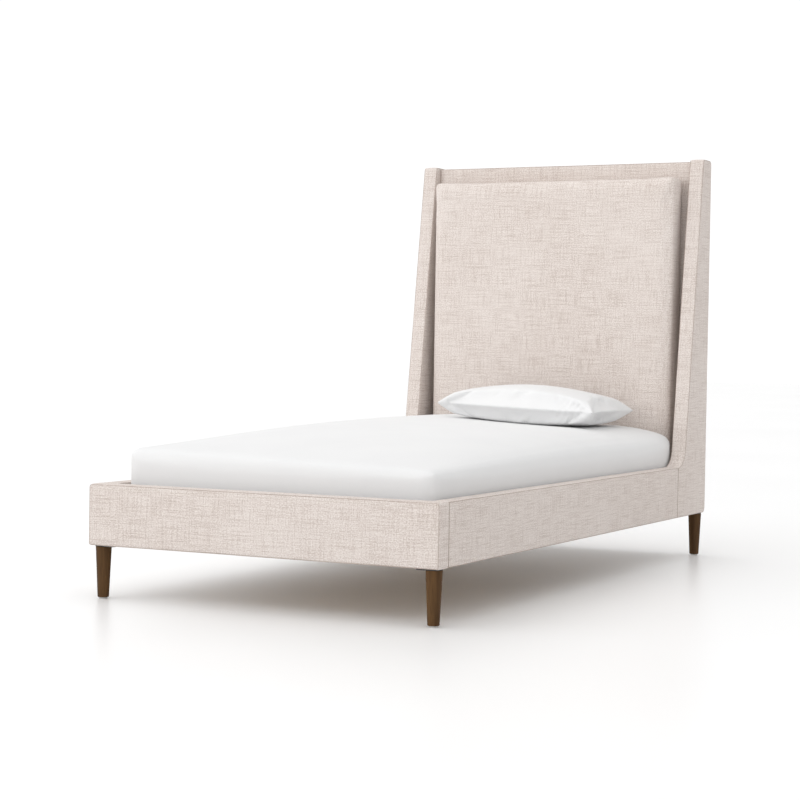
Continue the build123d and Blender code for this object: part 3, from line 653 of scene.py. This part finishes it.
def fill_box(piece, low, high, axes=(0, 1, 2)):
    """Stretch the piece a little so that it just fills its CAD part's box."""
    shape = coordinates(piece.data)
    for axis in axes:
        least, most = shape[:, axis].min(), shape[:, axis].max()
        share = (shape[:, axis] - least) / (most - least)
        shape[:, axis] = low[axis] + share * (high[axis] - low[axis])
    set_coordinates(piece.data, shape)


def smooth_finish(piece, levels=1):
    """One round of subdivision, applied."""
    modifier = piece.modifiers.new("smooth", "SUBSURF")
    modifier.levels = levels
    modifier.render_levels = levels
    bake_modifiers(piece)
    piece.data.shade_smooth()


def place_soft(piece, material, slot, body, *nodes):
    """Give a simulated piece its cloth, its body and the CAD nodes it stands for."""
    piece.data.materials.clear()
    piece.data.materials.append(material)
    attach(piece, body)
    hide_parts(*nodes)


# Backrest cushion: a thick pad, flat at the back where it hangs, crowned in front and at its edges.
CUSHION_SWELL = 9 * MM
CUSHION_PRESSURE = 3.0
CUSHION_FRAMES = 18
CUSHION_EDGE = 16 * MM
CUSHION_MESH = 9 * MM
cushion_low, cushion_high = (np.array(corner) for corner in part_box("cushion_cover"))
cushion = rounded_block(
    "backrest_cushion",
    cushion_low + np.array([CUSHION_SWELL * 0.6, CUSHION_SWELL, CUSHION_SWELL * 0.6]),
    cushion_high - np.array([CUSHION_SWELL * 0.6, 1 * MM, CUSHION_SWELL * 0.6]),
    CUSHION_EDGE,
    CUSHION_MESH,
)
inflate(cushion, CUSHION_PRESSURE, CUSHION_FRAMES, CUSHION_SWELL * 1.3)
shape = coordinates(cushion.data)
shape[:, 1] = np.minimum(shape[:, 1], cushion_high[1] - 0.5 * MM)
set_coordinates(cushion.data, shape)
smooth_finish(cushion)
fill_box(cushion, cushion_low, cushion_high)
place_soft(cushion, LINEN, "linen", "bed_frame", "cushion_cover", "cushion_foam")

# Mattress, and the fitted sheet drawn over it. Its top is a soft dome, lowest at the foot.
mattress_low, mattress_high = (np.array(corner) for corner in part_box("fitted_sheet"))
MATTRESS_SWELL = 2 * MM
MATTRESS_PRESSURE = 1.0
MATTRESS_FRAMES = 12
MATTRESS_EDGE = 20 * MM
MATTRESS_MESH = 12 * MM
SHEET_SPACE = 2.2 * MM
TOP_AT_EDGE = 422 * MM
RISE_TO_HEAD = 14 * MM
LEFT_HIGHER = 13 * MM
DOME_RISE = 50 * MM
DOME_ACROSS = 5.0
DOME_ALONG = 2.75
DOME_CENTRE = 0.25
DENT_DEPTH = 17 * MM
DENT_X, DENT_Y = 0.16, 0.62
DENT_ACROSS, DENT_ALONG = 0.38, 0.34


def mattress_top(x, y):
    """Height of the mattress's top over a place: its edges' height, its dome and the pillow's dent."""
    across = 2 * (x - mattress_low[0]) / (mattress_high[0] - mattress_low[0]) - 1
    along = 2 * (y - mattress_low[1]) / (mattress_high[1] - mattress_low[1]) - 1
    across, along = np.clip(across, -1, 1), np.clip(along, -1, 1)
    from_peak = np.abs(along - DOME_CENTRE) / (1 + DOME_CENTRE)
    dome = (1 - np.abs(across) ** DOME_ACROSS) * (1 - from_peak**DOME_ALONG)
    dent = np.exp(-(((x - DENT_X) / DENT_ACROSS) ** 2) - ((y - DENT_Y) / DENT_ALONG) ** 2)
    level = TOP_AT_EDGE + RISE_TO_HEAD * along - LEFT_HIGHER * across
    return level + DOME_RISE * dome - DENT_DEPTH * dent


mattress = rounded_block(
    "foam_mattress",
    mattress_low + np.array([MATTRESS_SWELL, MATTRESS_SWELL, 0]),
    np.array([mattress_high[0] - MATTRESS_SWELL, mattress_high[1] - MATTRESS_SWELL, TOP_AT_EDGE]),
    MATTRESS_EDGE,
    MATTRESS_MESH,
)
inflate(mattress, MATTRESS_PRESSURE, MATTRESS_FRAMES, MATTRESS_SWELL)
smooth_finish(mattress)
shape = coordinates(mattress.data)
shape[:, 2] = np.clip(shape[:, 2], mattress_low[2], TOP_AT_EDGE + 2 * MM)
height_share = (shape[:, 2] - mattress_low[2]) / (TOP_AT_EDGE - mattress_low[2])
shape[:, 2] += height_share**3 * (mattress_top(shape[:, 0], shape[:, 1]) - TOP_AT_EDGE)
set_coordinates(mattress.data, shape)
inside_sheet = np.full(3, SHEET_SPACE)
fill_box(mattress, mattress_low + inside_sheet, mattress_high - inside_sheet, axes=(0, 1))

SHEET_GAP = 1.2 * MM
SHEET_THICK = 0.8 * MM
SHEET_HEM = 110 * MM
sheet_mesh = mattress.data.copy()
work = bmesh.new()
work.from_mesh(sheet_mesh)
underside = [
    face for face in work.faces
    if face.calc_center_median().z < mattress_low[2] + 4 * MM
    and mattress_low[0] + SHEET_HEM < face.calc_center_median().x < mattress_high[0] - SHEET_HEM
    and mattress_low[1] + SHEET_HEM < face.calc_center_median().y < mattress_high[1] - SHEET_HEM
]
bmesh.ops.delete(work, geom=underside, context="FACES")
for vertex in work.verts:
    vertex.co += vertex.normal * SHEET_GAP
work.to_mesh(sheet_mesh)
work.free()
sheet = bpy.data.objects.new("fitted_sheet_cloth", sheet_mesh)
scene.collection.objects.link(sheet)
thicken = sheet.modifiers.new("cloth_thickness", "SOLIDIFY")
thicken.thickness = SHEET_THICK
thicken.offset = 1.0
bake_modifiers(sheet)
sheet.data.shade_smooth()
place_soft(mattress, TICKING, "mattress_core", "bedding", "mattress")
place_soft(sheet, COTTON, "cotton_sheet", "bedding", "fitted_sheet")

# Pillow: two layers sewn together round the edge and blown up, its right end sunk a little lower.
PILLOW_LENGTH = 0.66
PILLOW_WIDTH = 0.48
PILLOW_COLUMNS = 84
PILLOW_ROWS = 60
PILLOW_TILT = radians(2.0)
PILLOW_REST = 1.0 * MM
PILLOW_PUFF = 45 * MM
PILLOW_PRESSURE = 3.5
PILLOW_FRAMES = 20
PILLOW_STIFFNESS = 14.0
PILLOW_CLOTH_MASS = 0.25
PILLOW_LENS_ALONG = 0.20
PILLOW_LENS_ACROSS = 0.10
PILLOW_SINK = 22 * MM
PILLOW_TOP_SINK = 5 * MM
FOLD_CENTRE = (0.26, 0.50, 0.51)
FOLD_REACH = 55 * MM
FOLD_SPACING = 24 * MM
FOLD_DEPTH = 2.2 * MM
case_low, case_high = (np.array(corner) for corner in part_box("pillowcase"))


def pillow_blank(name):
    """A flat two-layer case, a little puffed so that the layers don't touch."""
    vertices, faces = [], []
    rows = {}
    for layer in (1, -1):
        for j in range(PILLOW_ROWS + 1):
            for i in range(PILLOW_COLUMNS + 1):
                edge = i in (0, PILLOW_COLUMNS) or j in (0, PILLOW_ROWS)
                if edge and layer == -1:
                    rows[layer, i, j] = rows[1, i, j]
                    continue
                s, t = i / PILLOW_COLUMNS, j / PILLOW_ROWS
                puff = (sin(pi * s) * sin(pi * t)) ** 0.7 * PILLOW_PUFF
                rows[layer, i, j] = len(vertices)
                vertices.append(((s - 0.5) * PILLOW_LENGTH, (t - 0.5) * PILLOW_WIDTH, layer * puff))
        for j in range(PILLOW_ROWS):
            for i in range(PILLOW_COLUMNS):
                corner = [rows[layer, i, j], rows[layer, i + 1, j],
                          rows[layer, i + 1, j + 1], rows[layer, i, j + 1]]
                faces.append(tuple(corner if layer == 1 else corner[::-1]))
    return mesh_from(name, vertices, faces)


pillow = bpy.data.objects.new("pillow_in_case", pillow_blank("pillow_in_case"))
scene.collection.objects.link(pillow)
inflate(pillow, PILLOW_PRESSURE, PILLOW_FRAMES, PILLOW_PUFF, PILLOW_STIFFNESS, PILLOW_CLOTH_MASS)
case_low[2] -= PILLOW_SINK
case_high[2] -= PILLOW_TOP_SINK
fill_box(pillow, case_low, case_high)
shape = coordinates(pillow.data)
middle = (case_low + case_high) / 2
offset = shape - middle
reach = np.abs(offset) / ((case_high - case_low) / 2)
# The filling thins towards the ends and the sides, so the pillow is a lens.
offset[:, 2] *= 1 - PILLOW_LENS_ALONG * reach[:, 0] ** 2 - PILLOW_LENS_ACROSS * reach[:, 1] ** 2
shape[:, 0] = middle[0] + offset[:, 0] * cos(PILLOW_TILT) + offset[:, 2] * sin(PILLOW_TILT)
shape[:, 2] = middle[2] + offset[:, 2] * cos(PILLOW_TILT) - offset[:, 0] * sin(PILLOW_TILT)
# A few diagonal folds gather at the front right.
from_fold = shape - np.array(FOLD_CENTRE)
nearness = np.exp(-((from_fold**2).sum(axis=1)) / FOLD_REACH**2)
phase = 2 * pi * (from_fold[:, 0] - 0.8 * from_fold[:, 2]) / FOLD_SPACING
shape[:, 1] -= FOLD_DEPTH * nearness * np.sin(phase)
# The underside settles on the sheet: what would sink into it is pressed flat along it.
sheet_z = mattress_top(shape[:, 0], shape[:, 1]) + SHEET_SPACE + PILLOW_REST
soft = 7 * MM
above = shape[:, 2] - sheet_z
pressed = soft * np.log1p(np.exp(np.minimum(above, 4 * soft) / soft))
shape[:, 2] = sheet_z + np.where(above > 4 * soft, above, pressed)
set_coordinates(pillow.data, shape)
smooth_finish(pillow)
place_soft(pillow, COTTON, "cotton_sheet", "head_pillow", "pillow", "pillowcase")

# ---------------------------------------------------------------- CAD parts that stay as they are
FINISHES = {
    "leg_wood": LEG_WOOD,
    "slat_wood": SLAT_WOOD,
    "frame_wood": BOARD_WOOD,
    "black_steel": BLACK_STEEL,
    "zinc_steel": ZINC,
    "glide_plastic": GLIDE,
    "webbing": WEBBING,
    "linen": LINEN,
    "foam": TICKING,
    "mattress_core": TICKING,
    "pillow_fill": COTTON,
    "cotton_sheet": COTTON,
}
for entry in frame["record"]["subparts"]:
    part = frame["nodes"][entry["node"]]
    finish = FINISHES[entry["material_slot"]]
    if not part.data.materials:
        part.data.materials.append(finish)
    for index in range(len(part.data.materials)):
        part.data.materials[index] = finish

# ---------------------------------------------------------------- floor, light and camera
floor_material = Nodes("studio_floor")
floor_tone = floor_material.noise(0.6, detail=2.0)
floor_material.finish(
    floor_material.mix(floor_tone, (0.96, 0.96, 0.96), (0.98, 0.98, 0.98)),
    floor_material.remap(floor_tone, 0.3, 0.7, 0.30, 0.36),
)
FLOOR_HALF = 40.0
floor = bpy.data.objects.new(
    "studio_floor",
    mesh_from(
        "studio_floor",
        [(-FLOOR_HALF, -FLOOR_HALF, 0), (FLOOR_HALF, -FLOOR_HALF, 0),
         (FLOOR_HALF, FLOOR_HALF, 0), (-FLOOR_HALF, FLOOR_HALF, 0)],
        [(0, 1, 2, 3)],
    ),
)
scene.collection.objects.link(floor)
floor.data.materials.append(floor_material.material)


def soft_light(name, place, aim, size, power, spread):
    """A square softbox that looks at a point, its beam narrowed to a spread."""
    lamp = bpy.data.lights.new(name, "AREA")
    lamp.shape = "SQUARE"
    lamp.size = size
    lamp.energy = power
    lamp.spread = spread
    box = bpy.data.objects.new(name, lamp)
    box.location = place
    box.rotation_euler = (Vector(aim) - Vector(place)).to_track_quat("-Z", "Y").to_euler()
    scene.collection.objects.link(box)


soft_light("key_softbox", (-2.4, -3.6, 2.0), (0.0, 0.9, 0.95), 1.2, 2.0, radians(45))

# A white world light: its strength falls off from the open front left to a dimmer rear right.
LIT_FROM = (-0.5, -0.5, 0.7)
LEVEL_BEHIND = 0.36
LEVEL_AHEAD = 1.40
LEVEL_SEEN = 1.05
world = bpy.data.worlds.new("studio")
world.use_nodes = True
scene.world = world
world_nodes = world.node_tree.nodes
world_links = world.node_tree.links
sky = world_nodes["Background"]
sky.inputs["Color"].default_value = (1.0, 1.0, 1.0, 1.0)
direction = world_nodes.new("ShaderNodeTexCoord")
towards = world_nodes.new("ShaderNodeVectorMath")
towards.operation = "DOT_PRODUCT"
towards.inputs[1].default_value = LIT_FROM
world_links.new(direction.outputs["Generated"], towards.inputs[0])
falloff = world_nodes.new("ShaderNodeMapRange")
falloff.inputs["From Min"].default_value = -0.9
falloff.inputs["From Max"].default_value = 0.9
falloff.inputs["To Min"].default_value = LEVEL_BEHIND
falloff.inputs["To Max"].default_value = LEVEL_AHEAD
world_links.new(towards.outputs["Value"], falloff.inputs["Value"])
ray = world_nodes.new("ShaderNodeLightPath")
level = world_nodes.new("ShaderNodeMix")
level.inputs["B"].default_value = LEVEL_SEEN
world_links.new(ray.outputs["Is Camera Ray"], level.inputs["Factor"])
world_links.new(falloff.outputs[0], level.inputs["A"])
world_links.new(level.outputs[0], sky.inputs["Strength"])
scene.view_settings.view_transform = "Standard"

CAMERA_PLACE = Vector((2.683, -5.536, 0.719))
CAMERA_YAW = radians(26.89)
CAMERA_PITCH = radians(1.54)
CAMERA_ROLL = radians(0.91)
CAMERA_LENS = 87.06
forward = Vector((
    -sin(CAMERA_YAW) * cos(CAMERA_PITCH),
    cos(CAMERA_YAW) * cos(CAMERA_PITCH),
    -sin(CAMERA_PITCH),
))
level_right = Vector((cos(CAMERA_YAW), sin(CAMERA_YAW), 0.0))
level_up = level_right.cross(forward)
right = level_right * cos(CAMERA_ROLL) + level_up * sin(CAMERA_ROLL)
up = level_up * cos(CAMERA_ROLL) - level_right * sin(CAMERA_ROLL)
camera_data = bpy.data.cameras.new("camera")
camera_data.lens = CAMERA_LENS
camera_data.sensor_width = 36.0
camera = bpy.data.objects.new("camera", camera_data)
camera.matrix_world = Matrix((
    (right.x, up.x, -forward.x, CAMERA_PLACE.x),
    (right.y, up.y, -forward.y, CAMERA_PLACE.y),
    (right.z, up.z, -forward.z, CAMERA_PLACE.z),
    (0.0, 0.0, 0.0, 1.0),
))
scene.collection.objects.link(camera)
scene.camera = camera
